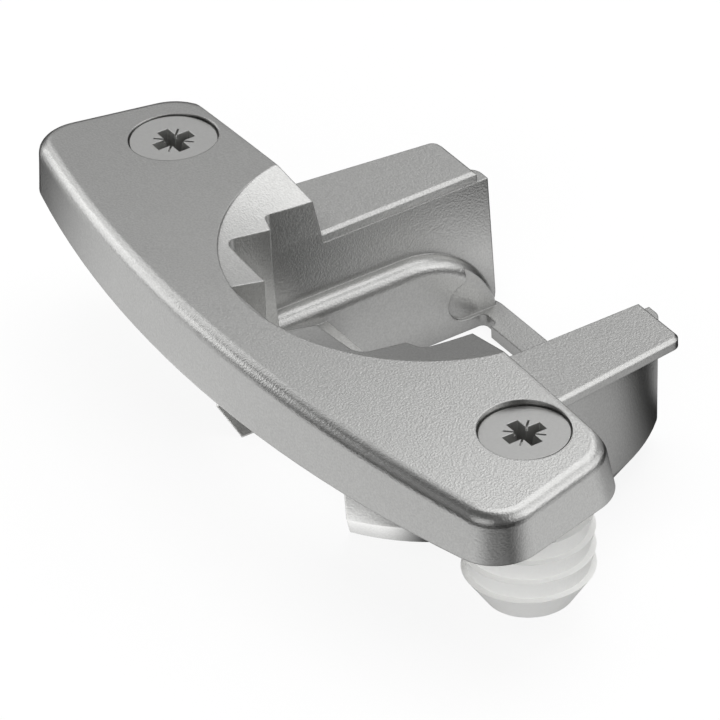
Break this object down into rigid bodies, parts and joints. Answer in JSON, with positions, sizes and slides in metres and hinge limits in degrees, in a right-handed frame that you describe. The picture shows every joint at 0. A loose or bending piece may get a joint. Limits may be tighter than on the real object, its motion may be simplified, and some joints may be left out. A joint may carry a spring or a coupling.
{
  "type": "hinge cup",
  "caption": "Door-side cup of a concealed cabinet hinge: a cast D-shaped flange over an open drum, with ribbed press-in dowels under countersunk screws.",
  "frame": {"origin": "axis of the drilled cup hole, on the door's face", "axes": "+Z away from the door, X along the two screws, +Y towards the door's edge and the hinge arm"},
  "size_m": [0.064, 0.033, 0.0174],
  "materials": {
    "cast_zinc": "fine blasted die-cast zinc, nickel plated",
    "screw_steel": "satin plated steel",
    "dowel_plastic": "pale grey nylon"
  },
  "bodies": {
    "root": {"hinge_cup": "cast_zinc", "screw_left": "screw_steel", "screw_right": "screw_steel", "dowel_left": "dowel_plastic", "dowel_right": "dowel_plastic"}
  },
  "joints": []
}
